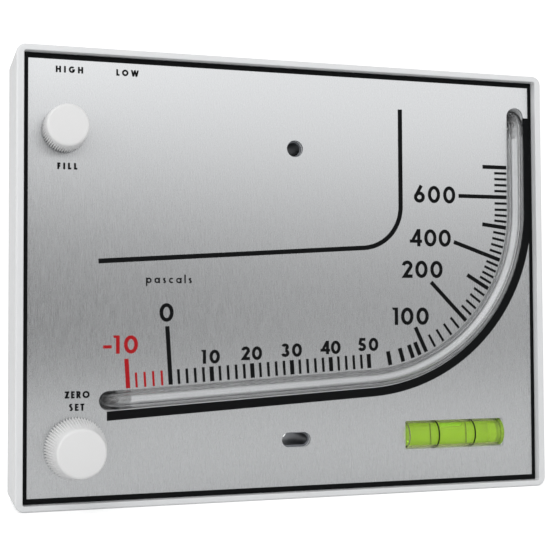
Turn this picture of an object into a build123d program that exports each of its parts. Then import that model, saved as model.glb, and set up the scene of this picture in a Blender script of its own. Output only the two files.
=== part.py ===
"""Inclined and vertical tube manometer for a wall, with a levelling vial, a zero set knob and a fill plug.

X runs to the right, Z up, and the front faces -Y. The origin is the centre of the back face, which
lies on the wall, so a depth in this file is the distance in front of the wall. Sizes are millimetres.
"""
import os
from math import atan, cos, degrees, pi, radians, sin, tan

from build123d import *

# Case: one white moulding with a front rim, a web under the scale plate and an open back
case_depth = 30.1
rim_proud = 3.0
rim_side_width = 2.6
rim_end_width = 2.1
case_corner_radius = 3.2
case_edge_radius = 0.9
recess_edge_radius = 0.3
recess_corner_radius = 0.8
web_thickness = 2.6
chamber_wall = 2.2
rib_thickness = 1.8
low_rib_thickness = 1.4
low_rib_height = 3.0
low_rib_columns = (-0.19, 0.19, 0.38)
low_rib_rows = (-0.24, 0.2)

# Scale plate: brushed aluminium sheet that lies on the web inside the rim
plate_width = 190.5
plate_height = 150.6
plate_thickness = 0.8
plate_edge_gap = 0.2
ink_thickness = 0.08

# Indicating tube: clear plastic, a long low slope, one large bend and a rise, with its ends turned back.
# Insets here and below are measured from the nearest edges of the scale plate.
tube_diameter = 6.35
tube_bore = 3.2
tube_sunk = 0.2
slope_angle = 3.47
bend_radius = 63.0
bend_foot_inset = 39.1
rise_inset = 6.85
elbow_radius = 4.8
lower_end_inset = 28.65
upper_end_inset = 13.1
tube_end_depth = 8.5
slot_width = 6.9
groove_clearance = 0.15
trough_wall = 1.8

# Rubber bush round each end of the tube, in a socket behind the web
seal_wall = 1.8
seal_length = 4.6
seal_grip_gap = 0.02
socket_wall = 1.3
socket_length = 4.8
socket_reach = 0.5

# Scale: tube length from zero at each printed station, evenly divided between one station and the next
stations = (
    (-10, -14.8), (0, 0.0), (50, 73.6), (60, 82.4), (70, 88.0), (80, 92.4), (90, 95.5),
    (100, 98.5), (200, 119.8), (300, 136.0), (400, 148.7), (500, 162.1), (600, 174.2), (700, 185.5),
)
zero_inset = 50.1
long_mark_pressures = (0, 200, 400, 600)
middle_mark_pressures = (100, 300, 500, 700)
major_mark_pressures = range(10, 100, 10)
minor_mark_pressures = (*range(2, 50, 2), *range(120, 700, 20))
negative_end_pressures = (-10,)
negative_minor_pressures = range(-8, 0, 2)
mark_gap = 0.35
minor_mark = (5.1, 0.9)
major_mark = (5.1, 1.5)
middle_mark = (10.0, 1.45)
long_mark = (20.1, 1.45)
negative_minor_mark = (5.1, 0.75)

# Other printing on the plate
border_side_width = 1.35
border_end_width = 1.8
band_width = 3.15
band_left_reach = 0.8
band_top_drop = 0.3
line_width = 1.65
line_left_reach = 3.7
line_top_reach = 0.5
line_bend_radius = 15.5

# Mounting holes through the plate and the case, each with a sleeve whose front is sunk behind the plate
hanging_inset = 28.8
hanging_diameter = 6.0
levelling_inset = 18.1
levelling_length = 10.7
levelling_width = 5.2
web_hole_gap = 0.12
sleeve_sunk = 2.3
sleeve_ledge = 0.55
sleeve_wall = 1.55
sleeve_fit = 0.05
boss_wall = 2.4

# Levelling vial
vial_side_inset = 33.35
vial_end_inset = 18.1
vial_diameter = 10.0
vial_length = 38.6
vial_wall = 0.9
vial_sunk = 2.7
vial_window_length = 40.2
vial_window_height = 10.7
vial_window_radius = 1.2
vial_clearance = 0.2
vial_plug_flange = 1.2
vial_plug_spigot = 1.6
ring_spacing = 14.6
ring_width = 0.55
ring_thickness = 0.08
bubble_length = 10.0
bubble_height = 3.2

# Liquid chambers behind the web, each closed by a cover cemented into the open back
well_width = 20.5
foot_width = 36.75
foot_height = 26.3
trap_height = 16.8
cover_thickness = 2.0
cover_recess = 0.6
cover_ledge = 1.2
cover_fit = 0.2

# Pressure ports in the top face
port_bore = 8.6
port_length = 12.0
port_depth = 13.0
port_boss_wall = 2.6
high_port_inset = 15.05
low_port_inset = 34.85

# Zero set knob and its displacer in the well
zero_knob_side_inset = 17.25
zero_knob_end_inset = 17.9
zero_knob_gap = 0.8
zero_knob_height = 16.3
zero_knob_base_radius = 10.65
zero_knob_rim_radius = 8.15
zero_knob_bevel = 1.2
zero_knob_bevel_angle = 22.0
zero_knob_teeth = 64
zero_knob_groove_depth = 0.75
zero_shank_radius = 3.0
zero_shank_length = 9.0
zero_shank_end_gap = 0.2
zero_stem_radius = 4.0
zero_bushing_wall = 2.2
zero_travel = 7.5
zero_travel_spare = 0.6
zero_end_gap = 0.4
cylinder_bore = 13.2
cylinder_end_depth = 8.0
cylinder_wall = 2.3
displacer_length = 5.0
displacer_ring_section = 1.8
ring_groove_length = 2.1
running_clearance = 0.05
groove_share = 0.94

# Fill plug
fill_side_inset = 13.25
fill_end_inset = 25.9
fill_plug_height = 11.9
fill_plug_base_radius = 7.65
fill_plug_rim_radius = 7.05
fill_plug_bevel = 1.2
fill_plug_bevel_angle = 20.0
fill_plug_teeth = 56
fill_plug_groove_depth = 0.5
fill_stem_radius = 4.5
fill_stem_length = 10.0
fill_boss_wall = 1.9
fill_boss_end_depth = 16.0
fill_boss_proud = 0.3
fill_gasket_thickness = 0.6
plate_hole_gap = 0.25

# Places worked out from the sizes above
recess_width = plate_width + 2 * plate_edge_gap
recess_height = plate_height + 2 * plate_edge_gap
case_width = recess_width + 2 * rim_side_width
case_height = recess_height + 2 * rim_end_width
plate_front = case_depth - rim_proud
web_front = plate_front - plate_thickness
web_back = web_front - web_thickness
tube_radius = tube_diameter / 2
tube_depth = plate_front - tube_sunk
groove_radius = tube_radius + groove_clearance
trough_radius = groove_radius + trough_wall
cover_front = cover_recess + cover_thickness
plate_left = -plate_width / 2
plate_right = plate_width / 2
plate_bottom = -plate_height / 2
plate_top = plate_height / 2
slope = radians(slope_angle)
rise_x = plate_right - rise_inset
bend_x = rise_x - bend_radius
bend_z = plate_bottom + bend_foot_inset + bend_radius
slope_end_x = bend_x + bend_radius * sin(slope)
slope_end_z = bend_z - bend_radius * cos(slope)
lower_end_x = plate_left + lower_end_inset
upper_end_z = plate_top - upper_end_inset
zero_x = plate_left + zero_inset
hanging_z = plate_top - hanging_inset
levelling_z = plate_bottom + levelling_inset
vial_x = plate_right - vial_side_inset
vial_z = plate_bottom + vial_end_inset
high_port_x = plate_left + high_port_inset
low_port_x = plate_left + low_port_inset
zero_knob_x = plate_left + zero_knob_side_inset
zero_knob_z = plate_bottom + zero_knob_end_inset
fill_x = plate_left + fill_side_inset
fill_z = plate_top - fill_end_inset


def at_depth(depth):
    """Plane parallel to the wall, with X to the right and Z up, whose normal points to the front."""
    return Plane.XZ.offset(depth)


def spot(x, z, depth):
    """Point from its place on the plate and its distance in front of the wall."""
    return Vector(x, -depth, z)


def slope_z(x):
    """Height of the sloping run's centre line at x."""
    return slope_end_z - (slope_end_x - x) * tan(slope)


lower_end_z = slope_z(lower_end_x)
lower_run_x = lower_end_x + elbow_radius * cos(slope)
lower_run_z = lower_end_z + elbow_radius * sin(slope)
upper_run_z = upper_end_z - elbow_radius
zero_to_bend = (slope_end_x - zero_x) / cos(slope)
bend_length = bend_radius * (radians(90) - slope)


def run_place(length):
    """Point and direction on the tube's centre line at a length from zero: x, z and the angle of travel."""
    if length <= zero_to_bend:
        return zero_x + length * cos(slope), slope_z(zero_x) + length * sin(slope), slope_angle
    if length <= zero_to_bend + bend_length:
        turn = slope + (length - zero_to_bend) / bend_radius
        return bend_x + bend_radius * sin(turn), bend_z - bend_radius * cos(turn), degrees(turn)
    return rise_x, bend_z + length - zero_to_bend - bend_length, 90.0


def station_length(pressure):
    """Tube length from zero to the mark of a pressure, evenly divided between printed stations."""
    for (low, start), (high, end) in zip(stations, stations[1:]):
        if pressure <= high:
            return start + (end - start) * (pressure - low) / (high - low)
    return stations[-1][1]


def run_wires(offset, left_x, top_z):
    """Slope, bend and rise of a line that runs beside the tube, at an offset outward from it."""
    radius = bend_radius + offset
    left_z = slope_z(left_x) - offset / cos(slope)
    foot = (bend_x + radius * sin(slope), bend_z - radius * cos(slope))
    middle = radians(45) + slope / 2
    Polyline((left_x, left_z), foot)
    ThreePointArc(foot, (bend_x + radius * sin(middle), bend_z - radius * cos(middle)), (bend_x + radius, bend_z))
    Polyline((bend_x + radius, bend_z), (bend_x + radius, top_z))


def run_strip(inner, outer, left_x, top_z):
    """Flat strip beside the tube between two offsets, cut upright at its left end and level at its top."""
    with BuildLine() as edge:
        run_wires(inner, left_x, top_z)
        run_wires(outer, left_x, top_z)
        Polyline((left_x, slope_z(left_x) - inner / cos(slope)), (left_x, slope_z(left_x) - outer / cos(slope)))
        Polyline((rise_x + inner, top_z), (rise_x + outer, top_z))
    make_face(edge.edges())


def front_axis(x, z, depth):
    """Plane at a place on the plate, for round features whose axis runs to the front."""
    return Plane(spot(x, z, depth), x_dir=(1, 0, 0), z_dir=(0, -1, 0))


def knurled_cone(x, z, back, front, base_radius, rim_radius, depth, teeth):
    """Cone whose V grooves are deepest at its base, where they almost meet, and run out at its rim."""
    taper = degrees(atan((base_radius - rim_radius) / (front - back)))
    half_width = groove_share * pi * base_radius / teeth
    with BuildPart() as cone:
        with BuildSketch(front_axis(x, z, back)):
            Circle(base_radius)
        extrude(amount=front - back, taper=taper)
        with BuildSketch(front_axis(x, z, back)) as mouth:
            with BuildLine():
                Polyline(
                    (base_radius - depth, 0),
                    (base_radius + depth, 2 * half_width),
                    (base_radius + depth, -2 * half_width),
                    close=True,
                )
            make_face()
        cutter = loft([mouth.sketch.face(), Vertex(*spot(x + rim_radius, z, front))], mode=Mode.PRIVATE)
        axis = Axis(spot(x, z, back), (0, -1, 0))
        add([cutter.rotate(axis, index * 360 / teeth) for index in range(teeth)], mode=Mode.SUBTRACT)
    return cone.part


# Centre line of the tube: the elbow and the end stub at each end turn back into the case
elbow_mid = elbow_radius * (1 - cos(radians(45)))
elbow_out = elbow_radius * sin(radians(45))
stub_start = tube_depth - elbow_radius
bend_middle = radians(45) + slope / 2
with BuildLine() as tube_run:
    Polyline(spot(lower_run_x, lower_run_z, tube_depth), spot(slope_end_x, slope_end_z, tube_depth))
    ThreePointArc(
        spot(slope_end_x, slope_end_z, tube_depth),
        spot(bend_x + bend_radius * sin(bend_middle), bend_z - bend_radius * cos(bend_middle), tube_depth),
        spot(rise_x, bend_z, tube_depth),
    )
    Polyline(spot(rise_x, bend_z, tube_depth), spot(rise_x, upper_run_z, tube_depth))
with BuildLine() as tube_line:
    Polyline(spot(lower_end_x, lower_end_z, tube_end_depth), spot(lower_end_x, lower_end_z, stub_start))
    ThreePointArc(
        spot(lower_end_x, lower_end_z, stub_start),
        spot(
            lower_run_x - elbow_out * cos(slope),
            lower_run_z - elbow_out * sin(slope),
            tube_depth - elbow_mid,
        ),
        spot(lower_run_x, lower_run_z, tube_depth),
    )
    add(tube_run.line)
    ThreePointArc(
        spot(rise_x, upper_run_z, tube_depth),
        spot(rise_x, upper_run_z + elbow_out, tube_depth - elbow_mid),
        spot(rise_x, upper_end_z, stub_start),
    )
    Polyline(spot(rise_x, upper_end_z, stub_start), spot(rise_x, upper_end_z, tube_end_depth))
tube_start = Plane(origin=tube_line.line @ 0, z_dir=tube_line.line % 0)
run_start = Plane(origin=tube_run.line @ 0, x_dir=(0, 1, 0), z_dir=tube_run.line % 0)

with BuildPart() as indicator_tube:
    with BuildSketch(tube_start):
        Circle(tube_radius)
        Circle(tube_bore / 2, mode=Mode.SUBTRACT)
    sweep(path=tube_line.line)

# Room for the tube's run in the case, and the half round trough that carries it behind the web
with BuildPart() as tube_groove:
    with BuildSketch(run_start):
        Circle(groove_radius)
    sweep(path=tube_run.line)
with BuildPart() as tube_trough:
    with BuildSketch(run_start):
        Circle(trough_radius)
        with Locations((tube_depth - web_front, 0)):
            Rectangle(2 * trough_radius, 2 * trough_radius, align=(Align.MAX, Align.CENTER), mode=Mode.SUBTRACT)
    sweep(path=tube_run.line)

# Outlines of the two liquid chambers, seen from the front
chamber_left_x = cover_ledge - recess_width / 2
chamber_top_z = recess_height / 2 - cover_ledge
chamber_right_x = recess_width / 2 - cover_ledge
well_right_x = chamber_left_x + well_width
foot_right_x = chamber_left_x + foot_width
foot_top_z = foot_height - chamber_top_z
trap_left_x = well_right_x + chamber_wall
trap_bottom_z = chamber_top_z - trap_height
seal_radius = tube_radius + seal_wall
socket_radius = seal_radius + socket_wall
socket_back = tube_end_depth - socket_reach
socket_front = socket_back + socket_length
pocket_left_x = well_right_x + chamber_wall
pocket_right_x = lower_end_x + socket_radius
pocket_top_z = lower_end_z + socket_radius
with BuildSketch(Plane.XZ) as well_outline:
    with BuildLine():
        Polyline(
            (chamber_left_x, chamber_top_z), (well_right_x, chamber_top_z), (well_right_x, foot_top_z),
            (pocket_left_x, foot_top_z), (pocket_left_x, pocket_top_z), (pocket_right_x, pocket_top_z),
            (pocket_right_x, foot_top_z), (foot_right_x, foot_top_z), (foot_right_x, -chamber_top_z),
            (chamber_left_x, -chamber_top_z), close=True,
        )
    make_face()
with BuildSketch(Plane.XZ) as trap_outline:
    with BuildLine():
        Polyline(
            (trap_left_x, chamber_top_z), (chamber_right_x, chamber_top_z), (chamber_right_x, trap_bottom_z),
            (trap_left_x, trap_bottom_z), close=True,
        )
    make_face()

cylinder_radius = cylinder_bore / 2
bushing_radius = zero_stem_radius + running_clearance + zero_bushing_wall
fill_bore_radius = fill_stem_radius + running_clearance
fill_boss_radius = fill_bore_radius + fill_boss_wall
fill_boss_front = plate_front + fill_boss_proud
vial_radius = vial_diameter / 2
vial_depth = plate_front - vial_sunk
cradle_radius = vial_radius + vial_clearance
pocket_length = vial_length + 2 * vial_clearance
sleeve_front = plate_front - sleeve_sunk
sleeve_bore = hanging_diameter - 2 * sleeve_ledge
sleeve_radius = sleeve_bore / 2 + sleeve_wall
slot_bore_length = levelling_length - 2 * sleeve_ledge
slot_bore_width = levelling_width - 2 * sleeve_ledge
slot_sleeve_length = slot_bore_length + 2 * sleeve_wall
slot_sleeve_width = slot_bore_width + 2 * sleeve_wall
displacer_back = cylinder_end_depth + zero_end_gap
displacer_front = displacer_back + displacer_length
zero_bushing_end_depth = displacer_front + zero_travel + zero_travel_spare
tube_ends = ((lower_end_x, lower_end_z, lower_run_x, lower_run_z), (rise_x, upper_end_z, rise_x, upper_run_z))
port_boss_radius = port_bore / 2 + port_boss_wall

with BuildPart() as housing:
    with BuildSketch(at_depth(0)):
        RectangleRounded(case_width, case_height, case_corner_radius)
    extrude(amount=case_depth)
    fillet(housing.faces().sort_by(Axis.Y)[0].edges(), case_edge_radius)
    with BuildSketch(at_depth(web_front)):
        RectangleRounded(recess_width, recess_height, recess_corner_radius)
    extrude(amount=case_depth - web_front, mode=Mode.SUBTRACT)
    fillet(housing.faces().sort_by(Axis.Y)[0].inner_wires()[0].edges(), recess_edge_radius)
    with BuildSketch(at_depth(0)):
        RectangleRounded(recess_width, recess_height, recess_corner_radius)
    extrude(amount=web_back, mode=Mode.SUBTRACT)
    # Liquid chambers, with a ledge round each for its cover
    for outline in (well_outline, trap_outline):
        with BuildSketch(at_depth(cover_front)):
            offset(outline.sketch_local, amount=chamber_wall, kind=Kind.INTERSECTION)
            Rectangle(recess_width, recess_height, mode=Mode.INTERSECT)
        extrude(amount=web_back - cover_front)
    for outline in (well_outline, trap_outline):
        with BuildSketch(at_depth(cover_front)):
            add(outline.sketch_local)
        extrude(amount=web_back - cover_front, mode=Mode.SUBTRACT)
    # Tall ribs through the mounting bosses and low ribs on the web
    with BuildSketch(at_depth(0)):
        with Locations((0, (trap_bottom_z - recess_height / 2) / 2)):
            Rectangle(rib_thickness, trap_bottom_z + recess_height / 2 - chamber_wall)
        with Locations(((recess_width / 2 + trap_left_x) / 2, 0)):
            Rectangle(recess_width / 2 - trap_left_x, rib_thickness)
    extrude(amount=web_back)
    with BuildSketch(at_depth(web_back - low_rib_height)):
        for share in low_rib_columns:
            with Locations((share * plate_width, (trap_bottom_z - recess_height / 2) / 2)):
                Rectangle(low_rib_thickness, trap_bottom_z + recess_height / 2 - chamber_wall)
        for share in low_rib_rows:
            with Locations(((recess_width / 2 + pocket_right_x) / 2, share * plate_height)):
                Rectangle(recess_width / 2 - pocket_right_x, low_rib_thickness)
    extrude(amount=low_rib_height)
    # Bosses of the two mounting holes, from the web to the wall
    with BuildSketch(at_depth(0)):
        with Locations((0, hanging_z)):
            Circle(sleeve_radius + sleeve_fit + boss_wall)
        with Locations((0, levelling_z)):
            SlotOverall(slot_sleeve_length + 2 * boss_wall, slot_sleeve_width + 2 * boss_wall)
    extrude(amount=web_back)
    # Trough and end sockets of the tube
    add(tube_trough.part)
    with BuildSketch(at_depth(socket_back)):
        for end_x, end_z, run_x, run_z in tube_ends:
            with Locations((end_x, end_z)):
                Circle(socket_radius)
            with Locations((run_x, run_z)):
                Circle(trough_radius)
            with BuildLine():
                Line((end_x, end_z), (run_x, run_z))
            trace(line_width=2 * trough_radius)
    extrude(amount=web_back - socket_back)
    # Cylinder of the zero displacer and boss of the fill plug
    with BuildSketch(at_depth(cylinder_end_depth)):
        with Locations((zero_knob_x, zero_knob_z)):
            Circle(cylinder_radius + cylinder_wall)
    extrude(amount=web_back - cylinder_end_depth)
    with BuildSketch(at_depth(fill_boss_end_depth)):
        with Locations((fill_x, fill_z)):
            Circle(fill_boss_radius)
    extrude(amount=fill_boss_front - fill_boss_end_depth)
    # Port bosses hang from the top wall
    with BuildSketch(Plane.XY.offset(case_height / 2 - port_length)):
        with Locations((high_port_x, -port_depth), (low_port_x, -port_depth)):
            Circle(port_boss_radius)
    extrude(amount=port_length - rim_end_width)
    # Pocket with a round cradle for the vial
    with BuildSketch(at_depth(vial_depth - cradle_radius - chamber_wall)):
        with Locations((vial_x, vial_z)):
            Rectangle(vial_window_length + 2 * chamber_wall, 2 * (cradle_radius + chamber_wall))
    extrude(amount=web_back - vial_depth + cradle_radius + chamber_wall)
    with BuildSketch(at_depth(vial_depth)):
        with Locations((vial_x, vial_z)):
            Rectangle(pocket_length, 2 * cradle_radius)
    extrude(amount=web_front - vial_depth, mode=Mode.SUBTRACT)
    with BuildSketch(Plane.YZ.offset(vial_x - pocket_length / 2)):
        with Locations((-vial_depth, vial_z)):
            Circle(cradle_radius)
    extrude(amount=pocket_length, mode=Mode.SUBTRACT)
    # Bores and holes, and an open pocket for each elbow of the tube
    add(tube_groove.part, mode=Mode.SUBTRACT)
    with BuildSketch(at_depth(socket_back)):
        with Locations((lower_end_x, lower_end_z), (rise_x, upper_end_z)):
            Circle(seal_radius + sleeve_fit)
    extrude(amount=socket_length, mode=Mode.SUBTRACT)
    with BuildSketch(at_depth(socket_front)):
        for end_x, end_z, run_x, run_z in tube_ends:
            with Locations((end_x, end_z), (run_x, run_z)):
                Circle(groove_radius)
            with BuildLine():
                Line((end_x, end_z), (run_x, run_z))
            trace(line_width=2 * groove_radius)
    extrude(amount=web_front - socket_front, mode=Mode.SUBTRACT)
    with BuildSketch(at_depth(cylinder_end_depth)):
        with Locations((zero_knob_x, zero_knob_z)):
            Circle(cylinder_radius)
    extrude(amount=zero_bushing_end_depth - cylinder_end_depth, mode=Mode.SUBTRACT)
    with BuildSketch(at_depth(zero_bushing_end_depth)):
        with Locations((zero_knob_x, zero_knob_z)):
            Circle(bushing_radius + sleeve_fit)
    extrude(amount=web_front - zero_bushing_end_depth, mode=Mode.SUBTRACT)
    with BuildSketch(at_depth(fill_boss_end_depth)):
        with Locations((fill_x, fill_z)):
            Circle(fill_bore_radius)
    extrude(amount=fill_boss_front - fill_boss_end_depth, mode=Mode.SUBTRACT)
    with BuildSketch(Plane.XY.offset(case_height / 2 - port_length)):
        with Locations((high_port_x, -port_depth), (low_port_x, -port_depth)):
            Circle(port_bore / 2)
    extrude(amount=port_length, mode=Mode.SUBTRACT)
    with BuildSketch(at_depth(0)):
        with Locations((0, hanging_z)):
            Circle(sleeve_radius + sleeve_fit)
        with Locations((0, levelling_z)):
            SlotOverall(slot_sleeve_length + 2 * sleeve_fit, slot_sleeve_width + 2 * sleeve_fit)
    extrude(amount=sleeve_front, mode=Mode.SUBTRACT)
    with BuildSketch(at_depth(sleeve_front)):
        with Locations((0, hanging_z)):
            Circle(hanging_diameter / 2 + web_hole_gap)
        with Locations((0, levelling_z)):
            SlotOverall(levelling_length + 2 * web_hole_gap, levelling_width + 2 * web_hole_gap)
    extrude(amount=web_front - sleeve_front, mode=Mode.SUBTRACT)

# Scale plate with the tube's slot, the vial's window and its holes
with BuildPart() as scale_plate:
    with BuildSketch(at_depth(web_front)):
        Rectangle(plate_width, plate_height)
        with BuildLine():
            run_wires(0, lower_end_x, upper_end_z)
        trace(line_width=slot_width, mode=Mode.SUBTRACT)
        with Locations((lower_end_x, lower_end_z), (rise_x, upper_end_z)):
            Circle(slot_width / 2, mode=Mode.SUBTRACT)
        with Locations((vial_x, vial_z)):
            RectangleRounded(vial_window_length, vial_window_height, vial_window_radius, mode=Mode.SUBTRACT)
        with Locations((0, hanging_z)):
            Circle(hanging_diameter / 2, mode=Mode.SUBTRACT)
        with Locations((0, levelling_z)):
            SlotOverall(levelling_length, levelling_width, mode=Mode.SUBTRACT)
        with Locations((fill_x, fill_z)):
            Circle(fill_boss_radius + plate_hole_gap, mode=Mode.SUBTRACT)
        with Locations((zero_knob_x, zero_knob_z)):
            Circle(bushing_radius + plate_hole_gap, mode=Mode.SUBTRACT)
    extrude(amount=plate_thickness)

# Printed border, and the band beside the tube that runs into it
with BuildPart() as border_and_band_print:
    with BuildSketch(at_depth(plate_front)):
        Rectangle(plate_width, plate_height)
        Rectangle(plate_width - 2 * border_side_width, plate_height - 2 * border_end_width, mode=Mode.SUBTRACT)
        run_strip(
            slot_width / 2, slot_width / 2 + band_width, lower_end_x - band_left_reach, upper_end_z - band_top_drop
        )
    extrude(amount=ink_thickness)

# Printed line that turns with the tube above the scale
with BuildPart() as panel_line_print:
    with BuildSketch(at_depth(plate_front)):
        line_left_x = lower_end_x - line_left_reach
        line_top_z = upper_end_z + line_top_reach
        line_foot_x = bend_x + line_bend_radius * sin(slope)
        line_foot_z = bend_z - line_bend_radius * cos(slope)
        with BuildLine():
            Polyline(
                (line_left_x, line_foot_z - (line_foot_x - line_left_x) * tan(slope)),
                (line_foot_x, line_foot_z),
            )
            ThreePointArc(
                (line_foot_x, line_foot_z),
                (bend_x + line_bend_radius * sin(bend_middle), bend_z - line_bend_radius * cos(bend_middle)),
                (bend_x + line_bend_radius, bend_z),
            )
            Polyline((bend_x + line_bend_radius, bend_z), (bend_x + line_bend_radius, line_top_z))
        trace(line_width=line_width)
    extrude(amount=ink_thickness)


def marks(pressures, size):
    """Printed marks square to the tube on its inner side, one for each pressure."""
    length, width = size
    for pressure in pressures:
        x, z, heading = run_place(station_length(pressure))
        reach = slot_width / 2 + mark_gap + length / 2
        across = radians(heading + 90)
        with Locations(Location((x + reach * cos(across), z + reach * sin(across)), heading)):
            Rectangle(width, length)


with BuildPart() as scale_marks:
    with BuildSketch(at_depth(plate_front)):
        marks(minor_mark_pressures, minor_mark)
        marks(major_mark_pressures, major_mark)
        marks(middle_mark_pressures, middle_mark)
        marks(long_mark_pressures, long_mark)
    extrude(amount=ink_thickness)

with BuildPart() as negative_scale_marks:
    with BuildSketch(at_depth(plate_front)):
        marks(negative_minor_pressures, negative_minor_mark)
        marks(negative_end_pressures, middle_mark)
    extrude(amount=ink_thickness)

# Rubber bushes that seal the tube's two ends in their sockets
seals = []
for name, x, z in (("lower_tube_seal", lower_end_x, lower_end_z), ("upper_tube_seal", rise_x, upper_end_z)):
    with BuildPart() as seal:
        with BuildSketch(at_depth(socket_front - seal_length)):
            with Locations((x, z)):
                Circle(seal_radius)
                Circle(tube_radius + seal_grip_gap, mode=Mode.SUBTRACT)
        extrude(amount=seal_length)
    seals.append((name, seal))

# Metal sleeves that take the pull of the wall screws
with BuildPart() as hanging_sleeve:
    with BuildSketch(at_depth(0)):
        with Locations((0, hanging_z)):
            Circle(sleeve_radius)
            Circle(sleeve_bore / 2, mode=Mode.SUBTRACT)
    extrude(amount=sleeve_front)

with BuildPart() as levelling_sleeve:
    with BuildSketch(at_depth(0)):
        with Locations((0, levelling_z)):
            SlotOverall(slot_sleeve_length, slot_sleeve_width)
            SlotOverall(slot_bore_length, slot_bore_width, mode=Mode.SUBTRACT)
    extrude(amount=sleeve_front)

# Levelling vial: clear shell, end plug, liquid with its bubble and two printed rings
vial_left = Plane.YZ.offset(vial_x - vial_length / 2)
shell_length = vial_length - vial_plug_flange
bore_radius = vial_radius - vial_wall
liquid_length = shell_length - vial_wall - vial_plug_spigot
with BuildPart() as level_vial:
    with BuildSketch(vial_left):
        with Locations((-vial_depth, vial_z)):
            Circle(vial_radius)
    extrude(amount=shell_length)
    with BuildSketch(vial_left.offset(vial_wall)):
        with Locations((-vial_depth, vial_z)):
            Circle(bore_radius)
    extrude(amount=shell_length - vial_wall, mode=Mode.SUBTRACT)

with BuildPart() as level_vial_plug:
    with BuildSketch(vial_left.offset(shell_length)):
        with Locations((-vial_depth, vial_z)):
            Circle(vial_radius)
    extrude(amount=vial_plug_flange)
    with BuildSketch(vial_left.offset(shell_length - vial_plug_spigot)):
        with Locations((-vial_depth, vial_z)):
            Circle(bore_radius - running_clearance)
    extrude(amount=vial_plug_spigot)

liquid_radius = bore_radius - running_clearance
liquid_middle_x = vial_x - vial_length / 2 + vial_wall + liquid_length / 2
bubble_axis = Plane(spot(liquid_middle_x, vial_z + liquid_radius - bubble_height / 4, vial_depth), x_dir=(1, 0, 0))
with BuildPart() as level_vial_liquid:
    with BuildSketch(vial_left.offset(vial_wall + running_clearance)):
        with Locations((-vial_depth, vial_z)):
            Circle(liquid_radius)
    extrude(amount=liquid_length - 2 * running_clearance)
    with BuildSketch(bubble_axis):
        SlotOverall(bubble_length, bubble_height)
        Rectangle(bubble_length, bubble_height, align=(Align.CENTER, Align.MAX), mode=Mode.SUBTRACT)
    revolve(axis=Axis(bubble_axis.origin, (1, 0, 0)), mode=Mode.SUBTRACT)

with BuildPart() as level_vial_rings:
    for side in (-0.5, 0.5):
        with BuildSketch(Plane.YZ.offset(vial_x + side * ring_spacing - ring_width / 2)):
            with Locations((-vial_depth, vial_z)):
                Circle(vial_radius + ring_thickness)
                Circle(vial_radius, mode=Mode.SUBTRACT)
        extrude(amount=ring_width)

# Zero set knob: a knurled cone on the shank of the displacer
zero_base = plate_front + zero_knob_gap
zero_face = zero_base + zero_knob_height
zero_rim = zero_face - zero_knob_bevel
with BuildPart() as zero_set_knob:
    add(
        knurled_cone(
            zero_knob_x, zero_knob_z, zero_base, zero_rim, zero_knob_base_radius, zero_knob_rim_radius,
            zero_knob_groove_depth, zero_knob_teeth,
        )
    )
    with BuildSketch(front_axis(zero_knob_x, zero_knob_z, zero_rim)):
        Circle(zero_knob_rim_radius)
    extrude(amount=zero_knob_bevel, taper=zero_knob_bevel_angle)
    with BuildSketch(front_axis(zero_knob_x, zero_knob_z, zero_base)):
        Circle(zero_shank_radius + running_clearance)
    extrude(amount=zero_shank_length, mode=Mode.SUBTRACT)

displacer_radius = cylinder_radius - running_clearance
ring_inner_radius = displacer_radius - displacer_ring_section
flange_length = (displacer_length - ring_groove_length) / 2
groove_back = displacer_back + flange_length
with BuildPart() as zero_displacer:
    for flange_back in (displacer_back, displacer_front - flange_length):
        with BuildSketch(front_axis(zero_knob_x, zero_knob_z, flange_back)):
            Circle(displacer_radius)
        extrude(amount=flange_length)
    with BuildSketch(front_axis(zero_knob_x, zero_knob_z, groove_back)):
        Circle(ring_inner_radius - running_clearance)
    extrude(amount=ring_groove_length)
    with BuildSketch(front_axis(zero_knob_x, zero_knob_z, displacer_front)):
        Circle(zero_stem_radius)
    extrude(amount=zero_base - displacer_front)
    with BuildSketch(front_axis(zero_knob_x, zero_knob_z, zero_base)):
        Circle(zero_shank_radius)
    extrude(amount=zero_shank_length - zero_shank_end_gap)

with BuildPart() as displacer_ring:
    with BuildSketch(front_axis(zero_knob_x, zero_knob_z, groove_back)):
        Circle(displacer_radius)
        Circle(ring_inner_radius, mode=Mode.SUBTRACT)
    extrude(amount=displacer_ring_section)

with BuildPart() as zero_bushing:
    with BuildSketch(front_axis(zero_knob_x, zero_knob_z, zero_bushing_end_depth)):
        Circle(bushing_radius)
        Circle(zero_stem_radius + running_clearance, mode=Mode.SUBTRACT)
    extrude(amount=plate_front - zero_bushing_end_depth)

# Fill plug with its gasket on the boss that comes through the plate
fill_base = fill_boss_front + fill_gasket_thickness
fill_face = fill_base + fill_plug_height
fill_rim = fill_face - fill_plug_bevel
with BuildPart() as fill_plug:
    add(
        knurled_cone(
            fill_x, fill_z, fill_base, fill_rim, fill_plug_base_radius, fill_plug_rim_radius,
            fill_plug_groove_depth, fill_plug_teeth,
        )
    )
    with BuildSketch(front_axis(fill_x, fill_z, fill_rim)):
        Circle(fill_plug_rim_radius)
    extrude(amount=fill_plug_bevel, taper=fill_plug_bevel_angle)
    with BuildSketch(front_axis(fill_x, fill_z, fill_base)):
        Circle(fill_stem_radius)
    extrude(amount=-fill_stem_length)

with BuildPart() as fill_gasket:
    with BuildSketch(front_axis(fill_x, fill_z, fill_boss_front)):
        Circle(fill_boss_radius)
        Circle(fill_stem_radius + running_clearance, mode=Mode.SUBTRACT)
    extrude(amount=fill_gasket_thickness)

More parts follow.
